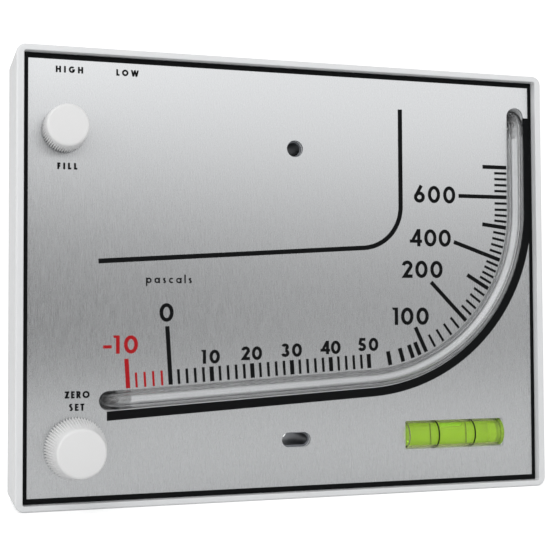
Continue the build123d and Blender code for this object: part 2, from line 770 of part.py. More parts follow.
# Rear covers of the two chambers
covers = []
for name, outline in (("well_cover", well_outline), ("trap_cover", trap_outline)):
    with BuildPart() as cover:
        with BuildSketch(at_depth(cover_recess)):
            offset(outline.sketch_local, amount=cover_ledge - cover_fit, kind=Kind.INTERSECTION)
        extrude(amount=cover_thickness)
    covers.append((name, cover))

pieces = {
    "housing": housing,
    "scale_plate": scale_plate,
    "border_and_band_print": border_and_band_print,
    "panel_line_print": panel_line_print,
    "scale_marks": scale_marks,
    "negative_scale_marks": negative_scale_marks,
    "indicator_tube": indicator_tube,
    "hanging_sleeve": hanging_sleeve,
    "levelling_sleeve": levelling_sleeve,
    "level_vial": level_vial,
    "level_vial_plug": level_vial_plug,
    "level_vial_liquid": level_vial_liquid,
    "level_vial_rings": level_vial_rings,
    "zero_set_knob": zero_set_knob,
    "zero_displacer": zero_displacer,
    "displacer_ring": displacer_ring,
    "zero_bushing": zero_bushing,
    "fill_plug": fill_plug,
    "fill_gasket": fill_gasket,
}
pieces.update(seals)
pieces.update(covers)

os.makedirs("parts", exist_ok=True)
for name, piece in pieces.items():
    piece.part.label = name
    export_step(piece.part, f"parts/{name}.step")
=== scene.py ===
"""Looks of a wall manometer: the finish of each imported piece, its printed lettering, its fine surfaces and a studio.

Everything is in metres in the part's own frame: X to the right, Z up, the front towards -Y, the wall at Y = 0.
"""

import bmesh
import bpy
import numpy as np
from bpy.props import FloatProperty, FloatVectorProperty, IntProperty, PointerProperty
from bpy.types import Operator, Panel, PropertyGroup
from mathutils import Matrix, Vector
from mathutils.geometry import delaunay_2d_cdt


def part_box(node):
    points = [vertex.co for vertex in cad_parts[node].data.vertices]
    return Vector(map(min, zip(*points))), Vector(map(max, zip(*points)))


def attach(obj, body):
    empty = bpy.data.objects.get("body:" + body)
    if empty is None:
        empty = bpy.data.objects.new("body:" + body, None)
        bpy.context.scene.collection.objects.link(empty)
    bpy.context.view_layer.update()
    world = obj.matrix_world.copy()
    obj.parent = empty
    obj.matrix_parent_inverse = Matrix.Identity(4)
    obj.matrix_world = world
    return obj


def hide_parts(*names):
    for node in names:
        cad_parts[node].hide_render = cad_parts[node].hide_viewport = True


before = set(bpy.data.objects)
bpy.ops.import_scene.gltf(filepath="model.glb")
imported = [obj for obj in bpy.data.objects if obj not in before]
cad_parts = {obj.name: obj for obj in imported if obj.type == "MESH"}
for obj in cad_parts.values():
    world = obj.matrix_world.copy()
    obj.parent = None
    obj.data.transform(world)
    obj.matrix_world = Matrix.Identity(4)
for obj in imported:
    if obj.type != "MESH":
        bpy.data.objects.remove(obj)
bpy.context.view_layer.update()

bl_info = {
    "name": "Wall manometer looks",
    "version": (1, 0, 0),
    "blender": (4, 5, 0),
    "location": "3D View > Sidebar > Manometer",
    "description": "Dresses the packed wall manometer and lights it",
    "category": "Object",
}

MM = 0.001
CASE_BODY = "case"
WHITE_LIGHT = (1, 1, 1, 1)

# Edges that turn more than this, in radians, stay crisp
CREASE = 0.5
TOOTH_CREASE = 0.6
ROUND_CREASE = 0.9


def front_of(node):
    """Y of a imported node's front, which is its lowest Y."""
    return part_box(node)[0].y


def middle_of(node):
    """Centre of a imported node's box."""
    low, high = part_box(node)
    return (low + high) / 2


PLATE_Y = front_of("scale_plate")
PRINT_Y = front_of("scale_marks")
FLOOR_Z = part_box("housing")[0].z


# Settings that a user would change


class PlateSettings(PropertyGroup):
    """Scale plate and its printing."""

    metal: FloatVectorProperty(
        name="Metal", description="Colour of the brushed sheet", subtype="COLOR", size=3, min=0, max=1,
        default=(0.63, 0.64, 0.65),
    )
    brush_width: FloatProperty(
        name="Brush width", description="Width of one brush line", subtype="DISTANCE", default=0.16 * MM
    )
    ink: FloatVectorProperty(
        name="Ink", description="Colour of the black printing", subtype="COLOR", size=3, min=0, max=1,
        default=(0.0035, 0.004, 0.0045),
    )
    red_ink: FloatVectorProperty(
        name="Red ink", description="Colour of the red printing", subtype="COLOR", size=3, min=0, max=1,
        default=(0.42, 0.012, 0.016),
    )
    stroke: FloatProperty(
        name="Stroke", description="Stroke of a numeral as a share of its height", default=0.19, min=0.05, max=0.3
    )


class CaseSettings(PropertyGroup):
    """White moulding and knobs."""

    white: FloatVectorProperty(
        name="White", description="Colour of the moulded case", subtype="COLOR", size=3, min=0, max=1,
        default=(0.80, 0.81, 0.82),
    )
    knob_white: FloatVectorProperty(
        name="Knob white", description="Colour of the moulded knobs", subtype="COLOR", size=3, min=0, max=1,
        default=(0.82, 0.82, 0.82),
    )
    sharp_angle: FloatProperty(
        name="Sharp angle", description="Edges that turn more than this stay crisp", subtype="ANGLE", default=0.52
    )
    port_bore: FloatProperty(name="Port bore", description="Bore of each port", subtype="DISTANCE", default=8.6 * MM)
    port_depth: FloatProperty(
        name="Port depth", description="From the wall to the axis of the ports", subtype="DISTANCE", default=13.0 * MM
    )
    port_length: FloatProperty(
        name="Port length", description="Length of the thread", subtype="DISTANCE", default=11.6 * MM
    )
    port_pitch: FloatProperty(
        name="Port pitch", description="Pitch of the pipe thread", subtype="DISTANCE", default=0.94 * MM
    )
    port_thread: FloatProperty(
        name="Port thread", description="Depth of the pipe thread", subtype="DISTANCE", default=0.45 * MM
    )
    high_port_inset: FloatProperty(
        name="High port inset", description="From the plate's left edge to the axis of the high port",
        subtype="DISTANCE", default=15.05 * MM,
    )
    low_port_inset: FloatProperty(
        name="Low port inset", description="From the plate's left edge to the axis of the low port",
        subtype="DISTANCE", default=34.85 * MM,
    )


class KnobSettings(PropertyGroup):
    """Zero set knob and fill plug."""

    zero_teeth: IntProperty(name="Zero knob teeth", description="Teeth round the zero set knob", default=64, min=8)
    zero_groove: FloatProperty(
        name="Zero knob groove", description="Depth of its grooves at the base", subtype="DISTANCE", default=0.9 * MM
    )
    zero_rim: FloatProperty(
        name="Zero knob rim", description="Radius where its grooves end", subtype="DISTANCE", default=8.15 * MM
    )
    fill_teeth: IntProperty(name="Fill plug teeth", description="Teeth round the fill plug", default=56, min=8)
    fill_groove: FloatProperty(
        name="Fill plug groove", description="Depth of its grooves at the base", subtype="DISTANCE", default=0.75 * MM
    )
    fill_rim: FloatProperty(
        name="Fill plug rim", description="Radius where its grooves end", subtype="DISTANCE", default=7.05 * MM
    )
    fill_knob_height: FloatProperty(
        name="Fill plug height", description="From its gasket to its face", subtype="DISTANCE", default=11.9 * MM
    )
    fill_stem_radius: FloatProperty(
        name="Fill stem radius", description="Outside radius of its thread", subtype="DISTANCE", default=4.5 * MM
    )
    bevel: FloatProperty(
        name="Bevel", description="Height of the round edge of each face", subtype="DISTANCE", default=1.0 * MM
    )
    pitch: FloatProperty(
        name="Pitch", description="Pitch of the fill stem's thread", subtype="DISTANCE", default=1.25 * MM
    )
    thread: FloatProperty(
        name="Thread", description="Depth of the fill stem's thread", subtype="DISTANCE", default=0.55 * MM
    )


class TubeSettings(PropertyGroup):
    """Indicating tube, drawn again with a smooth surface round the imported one's centre line."""

    diameter: FloatProperty(name="Diameter", description="Outside diameter", subtype="DISTANCE", default=6.35 * MM)
    bore: FloatProperty(name="Bore", description="Inside diameter", subtype="DISTANCE", default=3.2 * MM)
    bend_radius: FloatProperty(
        name="Bend radius", description="Radius of the large bend's centre line", subtype="DISTANCE", default=63 * MM
    )
    elbow_radius: FloatProperty(
        name="Elbow radius", description="Radius of the elbows at the ends", subtype="DISTANCE", default=4.8 * MM
    )
    slope: FloatProperty(name="Slope", description="Slope of the long run", subtype="ANGLE", default=np.radians(3.47))
    sides: IntProperty(name="Sides", description="Faces round the tube", default=48, min=12)


class VialSettings(PropertyGroup):
    """Levelling vial."""

    liquid: FloatVectorProperty(
        name="Liquid", description="Colour of the liquid", subtype="COLOR", size=3, min=0, max=1,
        default=(0.64, 0.93, 0.14),
    )
    # Painted glow: the emission that brightens the liquid, though it is no lamp
    painted_glow: FloatProperty(name="Glow", description="Light that the dye gives off", default=0.07, min=0, max=1)


class StudioSettings(PropertyGroup):
    """Camera, lamps, floor and world."""

    eye: FloatVectorProperty(
        name="Eye", description="Place of the camera", subtype="TRANSLATION", size=3,
        default=(-0.12947, -0.41621, -0.01426),
    )
    yaw: FloatProperty(name="Yaw", description="Turn about Z from +Y", subtype="ANGLE", default=np.radians(-17.380))
    pitch: FloatProperty(name="Pitch", description="Upward tilt", subtype="ANGLE", default=np.radians(2.170))
    roll: FloatProperty(
        name="Roll", description="Turn about the line of sight", subtype="ANGLE", default=np.radians(0.2435)
    )
    focal_pixels: FloatProperty(
        name="Focal length", description="Focal length in pixels of a picture 550 wide", default=1150.0
    )
    picture_width: IntProperty(name="Picture width", description="Width of the picture in pixels", default=550)
    floor: FloatVectorProperty(
        name="Floor", description="Colour of the floor and backdrop", subtype="COLOR", size=3, min=0, max=1,
        default=(0.86, 0.86, 0.86),
    )
    floor_glow: FloatProperty(
        name="Floor glow", description="Light added where the camera sees the floor", default=0.44, min=0, max=1
    )
    key_power: FloatProperty(name="Key", description="Power of the large lamp in front", subtype="POWER", default=2.6)
    fill_power: FloatProperty(name="Fill", description="Power of the lamp at the left", subtype="POWER", default=1.7)
    ambient: FloatProperty(name="Ambient", description="Strength of the even light from all round", default=0.77)


SETTINGS = {
    "manometer_plate": PlateSettings,
    "manometer_case": CaseSettings,
    "manometer_knobs": KnobSettings,
    "manometer_tube": TubeSettings,
    "manometer_vial": VialSettings,
    "manometer_studio": StudioSettings,
}


# Materials


class Nodes:
    """A node tree, and short calls that add and join its nodes."""

    def __init__(self, tree):
        self.tree = tree

    def add(self, kind, inputs=(), **values):
        """A node of a kind, with its properties and its sockets set. A socket given another socket is linked to it."""
        node = self.tree.nodes.new(kind)
        for name, value in values.items():
            setattr(node, name, value)
        for socket, value in dict(inputs).items():
            if isinstance(value, bpy.types.NodeSocket):
                self.tree.links.new(value, node.inputs[socket])
            else:
                node.inputs[socket].default_value = value
        return node

    def work_out(self, operation, *terms):
        """The result of a sum in a Math node."""
        return self.add("ShaderNodeMath", dict(enumerate(terms)), operation=operation).outputs["Value"]

    def spread(self, value, start, end, low, high):
        """A value from start to end, spread to the range from low to high and held at its ends."""
        limits = {"From Min": start, "From Max": end, "To Min": low, "To Max": high}
        return self.add("ShaderNodeMapRange", {"Value": value, **limits}).outputs["Result"]

    def rays(self, one, other):
        """1 for rays of either kind, and 0 for all others."""
        path = self.add("ShaderNodeLightPath").outputs
        return self.work_out("MAXIMUM", path[one], path[other])


class Finish(Nodes):
    """A material with one Principled shader."""

    def __init__(self, name, **sockets):
        self.material = bpy.data.materials.new(name)
        self.material.use_nodes = True
        super().__init__(self.material.node_tree)
        self.shader = self.tree.nodes["Principled BSDF"]
        for socket, value in sockets.items():
            self.shader.inputs[socket.replace("_", " ")].default_value = value

    def feed(self, socket, source):
        """Joins a node's output to one of the shader's sockets."""
        self.tree.links.new(source, self.shader.inputs[socket])

    def noise(self, scale, detail=3.0, stretch=(1, 1, 1)):
        """Noise in Object coordinates, with scale in waves for each metre and a stretch along the axes."""
        where = self.add("ShaderNodeTexCoord").outputs["Object"]
        scales = [scale * factor for factor in stretch]
        placed = self.add("ShaderNodeMapping", {"Vector": where, "Scale": scales}).outputs["Vector"]
        pattern = {"Vector": placed, "Scale": 1.0, "Detail": detail, "Roughness": 0.5}
        return self.add("ShaderNodeTexNoise", pattern).outputs["Fac"]

    def span(self, noise, low, high):
        """Noise, which mostly lies from 0.3 to 0.7, spread to the range from low to high."""
        return self.spread(noise, 0.3, 0.7, low, high)

    def tint(self, colour, factor):
        """Feeds the shader a colour made lighter or darker by a factor that varies over the surface."""
        shaded = self.add("ShaderNodeVectorMath", {0: tuple(colour), 1: factor}, operation="MULTIPLY")
        self.feed("Base Color", shaded.outputs["Vector"])

    def bump(self, height, distance):
        """Feeds the shader's normal with a bump of a height in metres."""
        node = self.add("ShaderNodeBump", {"Height": height, "Distance": distance, "Strength": 1.0})
        self.feed("Normal", node.outputs["Normal"])


def moulded_plastic(name, colour, roughness, groove_shade=None):
    """Moulded plastic: an even colour with faint flow marks and a soft sheen, and painted shade down in its grooves
    where groove_shade is given.
    """
    finish = Finish(name, IOR=1.5)
    shade = finish.span(finish.noise(60, detail=2.0), 0.985, 1.01)
    if groove_shade:
        # Painted shade: the colour darkens with the groove mask that mark_grooves writes on the points
        hollow = finish.add("ShaderNodeAttribute", attribute_name="hollow").outputs["Fac"]
        shade = finish.work_out("MULTIPLY", shade, finish.spread(hollow, 0.0, 1.0, 1.0, groove_shade))
    finish.tint(colour, shade)
    finish.feed("Roughness", finish.span(finish.noise(250), roughness - 0.01, roughness + 0.01))
    return finish.material


def brushed_sheet(settings):
    """Aluminium sheet brushed upright: the lines run along Z, so that the light spreads along X.

    Fine lines and a fifth as much of broad ones are added, and brought back to the range of one noise.
    """
    finish = Finish("brushed_aluminium", Metallic=1.0, Anisotropic=0.8)
    across = 1 / settings.brush_width
    fine = finish.noise(across, detail=2.0, stretch=(1, 1, 0.045))
    broad = finish.noise(across / 5, detail=3.0, stretch=(1, 1, 0.1))
    mixed = finish.work_out("MULTIPLY_ADD", broad, 0.2, fine)
    lines = finish.work_out("MULTIPLY", mixed, 0.833)
    finish.tint(settings.metal, finish.span(lines, 0.965, 1.03))
    finish.feed("Roughness", finish.span(lines, 0.24, 0.31))
    along = finish.add("ShaderNodeCombineXYZ", {"X": 1.0, "Y": 0.0, "Z": 0.0}).outputs["Vector"]
    finish.feed("Tangent", along)
    finish.bump(fine, 0.0025 * MM)
    return finish.material


def printed_ink(name, colour):
    """Screen printed ink: a dull film whose sheen varies a little."""
    finish = Finish(name, IOR=1.45)
    finish.shader.inputs["Specular IOR Level"].default_value = 0.1
    patches = finish.noise(1400, detail=3.0)
    finish.tint(colour, finish.span(patches, 0.85, 1.15))
    finish.feed("Roughness", finish.span(patches, 0.42, 0.58))
    finish.bump(finish.noise(6000), 0.004 * MM)
    return finish.material


def let_light_through(finish, share):
    """Lets a share of the lamps' and of the even light pass straight through to what lies behind the surface."""
    passing = finish.rays("Is Shadow Ray", "Is Diffuse Ray")
    finish.feed("Alpha", finish.spread(passing, 0.0, 1.0, 1.0, 1.0 - share))


def clear_plastic(name, colour, edge, clearness, ior, passing):
    """Clear plastic with painted shade where it is looked at aslant, darkest at its edges by the edge factor. The part
    of it that isn't clear is a milky body colour.
    """
    finish = Finish(name, IOR=ior, Roughness=0.03, Transmission_Weight=clearness)
    aslant = finish.add("ShaderNodeLayerWeight", {"Blend": 0.5}).outputs["Facing"]
    # Painted shade: the colour darkens towards edge where the surface turns away from the camera
    finish.tint(colour, finish.spread(aslant, 0.08, 0.4, 1.0, edge))
    let_light_through(finish, passing)
    return finish.material


def dyed_liquid(settings):
    """Level liquid: it lets light through, and a little painted glow brightens its dye colour."""
    finish = Finish("level_liquid", IOR=1.25, Roughness=0.03, Transmission_Weight=0.93)
    # Painted glow: emission that brightens the liquid, though it is no lamp
    finish.shader.inputs["Emission Color"].default_value = (0.45, 0.62, 0.03, 1.0)
    finish.shader.inputs["Emission Strength"].default_value = settings.painted_glow
    finish.tint(settings.liquid, finish.span(finish.noise(160, detail=2.0), 0.92, 1.08))
    let_light_through(finish, 0.9)
    return finish.material


def turned_metal(name, colour, roughness):
    """Turned or plated metal, with fine marks round the axis along Y."""
    finish = Finish(name, Metallic=1.0)
    marks = finish.noise(3000, detail=2.0, stretch=(0.2, 1, 0.2))
    finish.tint(colour, finish.span(marks, 0.9, 1.08))
    finish.feed("Roughness", finish.span(marks, roughness - 0.06, roughness + 0.08))
    finish.bump(marks, 0.008 * MM)
    return finish.material


def black_rubber():
    """Moulded rubber, dull and slightly dusty."""
    finish = Finish("black_rubber")
    dust = finish.noise(1800, detail=4.0)
    finish.tint((0.02, 0.02, 0.021), finish.span(dust, 0.8, 1.6))
    finish.feed("Roughness", finish.span(dust, 0.6, 0.75))
    finish.bump(dust, 0.01 * MM)
    return finish.material


# Meshes


def smooth_mesh(name, points, faces, material):
    """A mesh of one material with all faces smooth. The faces are rows of numbers of points."""
    mesh = bpy.data.meshes.new(name)
    mesh.from_pydata(points.reshape(-1, 3).tolist(), [], faces)
    mesh.polygons.foreach_set("use_smooth", np.ones(len(mesh.polygons), bool))
    mesh.materials.append(material)
    mesh.update()
    return mesh


def show(mesh, body, replaces=()):
    """An object at the origin that holds a mesh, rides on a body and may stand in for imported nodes."""
    piece = bpy.data.objects.new(mesh.name, mesh)
    bpy.context.scene.collection.objects.link(piece)
    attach(piece, body)
    if replaces:
        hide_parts(*replaces)
    return piece


def close_and_crease(piece, angle=CREASE, reach=1e-7):
    """Merges doubled points, drops empty faces, points faces outwards and keeps the edges above an angle crisp."""
    work = bmesh.new()
    work.from_mesh(piece.data)
    bmesh.ops.remove_doubles(work, verts=work.verts, dist=reach)
    bmesh.ops.dissolve_degenerate(work, edges=work.edges, dist=reach)
    bmesh.ops.recalc_face_normals(work, faces=work.faces)
    for edge in work.edges:
        edge.smooth = len(edge.link_faces) == 2 and edge.calc_face_angle(0) < angle
    for face in work.faces:
        face.smooth = True
    work.to_mesh(piece.data)
    work.free()
    piece.data.update()


def even_normals(piece):
    """Lets large flat faces set the shading beside small round ones."""
    modifier = piece.modifiers.new("even_normals", "WEIGHTED_NORMAL")
    modifier.keep_sharp = True
    modifier.weight = 100


def points_at(*coordinates):
    """Points from their coordinates, each of which is an array or one value for all points."""
    return np.stack(np.broadcast_arrays(*coordinates), axis=-1)


def grid_faces(rows, columns, close_rows, close_columns):
    """Quads over a grid of points, numbered row by row, joined round where a direction is closed."""
    index = np.arange(rows * columns).reshape(rows, columns)
    if close_rows:
        index = np.vstack((index, index[:1]))
    if close_columns:
        index = np.hstack((index, index[:, :1]))
    corners = (index[:-1, :-1], index[1:, :-1], index[1:, 1:], index[:-1, 1:])
    return np.stack(corners, axis=-1).reshape(-1, 4)


def turned_points(centre, profile, angles, cut):
    """Points of a turned form whose axis runs to the front: (x, z) = centre + radius (cos a, sin a), y = the profile's.

    The profile is rows of radius and Y. The cut, taken from the radius, is an array over profile and angle.
    """
    radius = np.maximum(profile[:, :1] * np.ones(len(angles)) - cut, 0)
    return points_at(centre.x + radius * np.cos(angles), profile[:, 1:], centre.z + radius * np.sin(angles))


def knurled_points(centre, base_radius, rim_radius, groove, teeth, back_y, face_y, bevel):
    """A cone with V grooves and a round-edged face.

    Up the flank, s runs from 0 at the base to 1 at the rim. Round it, v runs from 0 on a tooth to 1 in a groove.
    The flank's radius is the cone's less groove depth times whatever v exceeds s by, so each groove runs out at
    the rim. The edge of the face is a quarter of an ellipse.
    """
    flank_rows, edge_rows, points_per_tooth = 17, 6, 8
    rise = np.linspace(0, 1, flank_rows)
    edge = np.linspace(0, np.pi / 2, edge_rows + 1)[1:]
    rim_y = face_y + bevel
    flank = points_at(base_radius + (rim_radius - base_radius) * rise, back_y + (rim_y - back_y) * rise)
    round_edge = points_at(rim_radius - bevel * (1 - np.cos(edge)), rim_y - bevel * np.sin(edge))
    profile = np.vstack(((0.0, back_y), flank, round_edge, (0.0, face_y)))
    climb = np.concatenate(((1.0,), rise, np.ones(len(edge) + 1)))
    angles = full_turn(teeth * points_per_tooth)
    valley = 1 - np.abs((angles * teeth / (2 * np.pi)) % 1 * 2 - 1)
    return turned_points(centre, profile, angles, groove * np.maximum(valley - climb[:, None], 0))


def mark_grooves(piece, centre, base_radius, rim_radius, groove, back_y, rim_y):
    """Writes how far each point lies inside the cone, from 0 on a tooth to 1 at a full groove, as a point attribute
    that masks the painted shade in the grooves.

    The cone's radius runs evenly from the base's at back_y to the rim's at rim_y. Points off the flank get 0.
    """
    flat = np.empty(len(piece.data.vertices) * 3)
    piece.data.vertices.foreach_get("co", flat)
    x, y, z = flat.reshape(-1, 3).T
    climb = (y - back_y) / (rim_y - back_y)
    depth = base_radius + (rim_radius - base_radius) * climb - np.hypot(x - centre.x, z - centre.z)
    # A little past the base and past a full groove still counts, since points are rounded to single precision
    base_limit, groove_limit = -1e-3, 1.05
    on_flank = (climb > base_limit) & (climb < 1) & (depth < groove * groove_limit)
    hollow = np.where(on_flank, np.clip(depth / groove, 0, 1), 0)
    piece.data.attributes.new("hollow", "FLOAT", "POINT").data.foreach_set("value", hollow)


def threaded_points(centre, radius, depth, pitch, back_y, front_y):
    """A right-hand thread on a round stem: radius less depth times a wave that climbs one pitch for each turn.

    The wave is 0 on the crest and 1 at the root, and fades out over a pitch at both ends.
    """
    rings_per_pitch = 10
    count = int(round((back_y - front_y) / pitch * rings_per_pitch)) + 1
    along = np.linspace(back_y, front_y, count)
    angles = full_turn(64)
    wave = 0.5 - 0.5 * np.cos(2 * np.pi * (-along[:, None] / pitch - angles / (2 * np.pi)))
    fade = np.clip(np.minimum(back_y - along, along - front_y) / pitch, 0, 1)
    profile = np.vstack(((0.0, back_y), points_at(radius, along), (0.0, front_y)))
    cut = np.vstack((np.zeros(len(angles)), depth * wave * fade[:, None], np.zeros(len(angles))))
    return turned_points(centre, profile, angles, cut)


def joined_grids(*grids):
    """Points and rows of faces of several grids, each closed round, for one mesh."""
    points, faces, start = [], [], 0
    for grid in grids:
        rows, columns = grid.shape[:2]
        points.append(grid.reshape(-1, 3))
        faces.append(grid_faces(rows, columns, False, True) + start)
        start += rows * columns
    return np.vstack(points), np.vstack(faces).tolist()


def full_turn(count):
    """Angles all the way round, without the last that meets the first."""
    return np.arange(count) * 2 * np.pi / count


def paint(nodes, material):
    """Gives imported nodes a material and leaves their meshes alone."""
    for name in nodes:
        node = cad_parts[name]
        node.data.materials.clear()
        node.data.materials.append(material)


def smooth_twin(node, material, body, angle=CREASE):
    """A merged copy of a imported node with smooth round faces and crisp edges, shown in its place."""
    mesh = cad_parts[node].data.copy()
    mesh.name = node + "_skin"
    mesh.materials.clear()
    mesh.materials.append(material)
    piece = show(mesh, body, (node,))
    close_and_crease(piece, angle, reach=2e-6)
    even_normals(piece)


# Lettering, drawn with strokes of one width on a grid whose unit is the height of a capital or of a small letter


def bow(x, z, across, up, start, end):
    """Points of an elliptic arc about (x, z), from start to end in degrees, no more than 7 degrees apart."""
    turn = np.radians(np.linspace(start, end, int(abs(end - start) / 7) + 2))
    return points_at(x + across * np.cos(turn), z + up * np.sin(turn))


def join(*stretches):
    """One path through arcs and single points."""
    return np.concatenate([np.atleast_2d(stretch) for stretch in stretches])


def stroke_outline(path, width):
    """Outline of a stroke: the path moved half a width to each side, with mitred corners and square ends."""
    step = np.diff(path, axis=0)
    step = step / np.linalg.norm(step, axis=1, keepdims=True)
    before = np.vstack((step[:1], step))
    after = np.vstack((step, step[-1:]))
    side = points_at(-(before + after)[:, 1], (before + after)[:, 0])
    side = side / np.linalg.norm(side, axis=1, keepdims=True)
    square = points_at(-before[:, 1], before[:, 0])
    reach = width / 2 / np.sum(side * square, axis=1, keepdims=True)
    return np.vstack((path + side * reach, (path - side * reach)[::-1]))


def slant(top, bottom, width, low=0.0, high=1.0):
    """A slanting bar with level ends: top and bottom are the places of its left edge."""
    return np.array(((bottom, low), (bottom + width, low), (top + width, high), (top, high)))


def ring(x, z, across, up, width):
    """A closed round stroke as two half rings, so that each outline is simple."""
    return [
        stroke_outline(bow(x, z, across, up, 0, 180), width),
        stroke_outline(bow(x, z, across, up, 180, 360), width),
    ]


def glyph(letter, w):
    """Width and outlines of a letter or numeral of height 1 whose stroke is w wide."""
    h = w / 2
    top = 1 - h

    def stem(x, low=0.0, high=1.0):
        return stroke_outline(join((x, low), (x, high)), w)

    def bar(z, left, right):
        return stroke_outline(join((left, z), (right, z)), w * 0.92)

    if letter == "0":
        return 0.77, ring(0.385, 0.5, 0.385 - h, 0.5 - h, w)
    if letter == "1":
        flag = [(0.36 - w, 0), (0.36, 0), (0.36, 1), (0, 1), (0.05, 0.86), (0.36 - w, 0.86)]
        return 0.36, [np.array(flag)]
    if letter == "2":
        head = bow(0.335, 0.705, 0.325 - h, 0.295 - h, 176, -38)
        return 0.66, [stroke_outline(join(head, (0.17, h), (0.66, h)), w)]
    if letter == "3":
        upper = bow(0.30, 0.745, 0.285 - h, 0.255 - h, 165, -88)
        lower = bow(0.30, 0.29, 0.32 - h, 0.29 - h, 88, -165)
        return 0.62, [stroke_outline(upper, w), stroke_outline(lower, w)]
    if letter == "4":
        return 0.76, [stem(0.56), bar(0.295, 0.0, 0.76), slant(0.56 - h, 0.0, w, 0.295 - 0.46 * w, 1.0)]
    if letter == "5":
        flag = join((0.58, top), (0.20, top), (0.125, 0.47))
        bowl = bow(0.29, 0.315, 0.33 - h, 0.315 - h, 128, -158)
        return 0.62, [stroke_outline(flag, w * 0.95), stroke_outline(bowl, w)]
    if letter == "6":
        tail = stroke_outline(join((0.13, 0.40), (0.46, 1.0)), w)
        return 0.68, ring(0.34, 0.325, 0.34 - h, 0.325 - h, w) + [tail]
    if letter == "-":
        return 0.47, [bar(0.38, 0.0, 0.47)]
    if letter == "H":
        return 0.80, [stem(h), stem(0.80 - h), bar(0.52, h, 0.80 - h)]
    if letter == "I":
        return w, [stem(h)]
    if letter == "G":
        bowl = bow(0.48, 0.5, 0.48 - h, 0.5 - h, 45, 352)
        return 0.94, [stroke_outline(bowl, w), bar(0.44, 0.52, 0.94)]
    if letter == "L":
        return 0.50, [stem(h), bar(h * 0.92, h, 0.50)]
    if letter == "O":
        return 1.0, ring(0.5, 0.5, 0.5 - h, 0.5 - h, w)
    if letter == "W":
        places = ((0.0, 0.24), (0.49, 0.24), (0.49, 0.73), (0.98, 0.73))
        return 0.98 + w, [slant(high, low, w) for high, low in places]
    if letter == "F":
        return 0.48, [stem(h), bar(top, h, 0.48), bar(0.50, h, 0.45)]
    if letter == "Z":
        return 0.62, [bar(top, 0.0, 0.62), bar(h, 0.0, 0.62), slant(0.62 - w * 1.3, 0.0, w * 1.3)]
    if letter == "E":
        return 0.50, [stem(h), bar(top, h, 0.50), bar(0.51, h, 0.47), bar(h, h, 0.50)]
    if letter == "R":
        bowl = join((h, top), bow(0.31, 0.70, 0.27 - h, 0.30 - h, 90, -90), (h, 0.40 + h))
        return 0.60, [stem(h), stroke_outline(bowl, w), slant(0.20, 0.38, w, 0.0, 0.46)]
    if letter == "S":
        curve = join(bow(0.29, 0.73, 0.27 - h, 0.27 - h, 40, 262), bow(0.27, 0.285, 0.27 - h, 0.285 - h, 82, -140))
        return 0.56, [stroke_outline(curve, w)]
    if letter == "T":
        return 0.54, [stem(0.27), bar(top, 0.0, 0.54)]
    if letter == "p":
        return 1.04, ring(0.54, 0.5, 0.5 - h, 0.5 - h, w) + [stem(h, -0.55, 1.0)]
    if letter == "a":
        return 1.04, ring(0.5, 0.5, 0.5 - h, 0.5 - h, w) + [stem(1.04 - h)]
    if letter == "s":
        curve = join(bow(0.33, 0.735, 0.29 - h, 0.265 - h, 40, 262), bow(0.31, 0.285, 0.31 - h, 0.285 - h, 82, -140))
        return 0.64, [stroke_outline(curve, w)]
    if letter == "c":
        return 0.84, [stroke_outline(bow(0.5, 0.5, 0.5 - h, 0.5 - h, 52, 308), w)]
    if letter == "l":
        return w, [stem(h, 0.0, 1.62)]
    raise ValueError(f"no outline for {letter!r}")


def word_outlines(text, centre_x, base_z, height, width, weight):
    """Outlines of a word in millimetres: letters set side by side with even gaps that fill the word's width."""
    letters = [glyph(letter, weight) for letter in text]
    spare = width - height * sum(advance for advance, outlines in letters)
    gap = spare / max(1, len(letters) - 1)
    left = centre_x - width / 2
    shapes = []
    for advance, outlines in letters:
        shapes += [np.array((left, base_z)) + height * outline for outline in outlines]
        left += advance * height + gap
    return shapes


def turns_right(shape):
    """Whether an outline runs clockwise: the signed area between it and the axis is below zero."""
    x, z = shape.T
    return np.sum(x * np.roll(z, -1) - np.roll(x, -1) * z) < 0


def filled_flat(shapes):
    """Points and triangles that fill a set of outlines, each place once where outlines overlap."""
    shapes = [shape[::-1] if turns_right(shape) else shape for shape in shapes]
    points = [Vector(point) for shape in shapes for point in shape]
    starts = np.cumsum([0] + [len(shape) for shape in shapes])
    loops = [list(range(start, end)) for start, end in zip(starts, starts[1:])]
    corners, _, triangles, _, _, sources = delaunay_2d_cdt(points, [], loops, 1, 1e-5)
    inside = [triangle for triangle, source in zip(triangles, sources) if source]
    return np.array([tuple(corner) for corner in corners]), np.array(inside)


def raised_print(name, shapes, ink):
    """A printed film: the filled outlines on the plate, their copy at the ink's face and walls along the free edges."""
    flat, triangles = filled_flat(shapes)
    count = len(flat)
    low = points_at(flat[:, 0] * MM, PLATE_Y, flat[:, 1] * MM)
    high = low + np.array((0, PRINT_Y - PLATE_Y, 0))
    sides = np.concatenate((triangles[:, (0, 1)], triangles[:, (1, 2)], triangles[:, (2, 0)]))
    known = {tuple(edge) for edge in sides.tolist()}
    free = np.array([edge for edge in sides.tolist() if (edge[1], edge[0]) not in known])
    walls = np.stack((free[:, 1], free[:, 0], free[:, 0] + count, free[:, 1] + count), axis=-1)
    faces = triangles[:, ::-1].tolist() + (triangles + count).tolist() + walls.tolist()
    close_and_crease(show(smooth_mesh(name, np.vstack((low, high)), faces, ink), CASE_BODY))


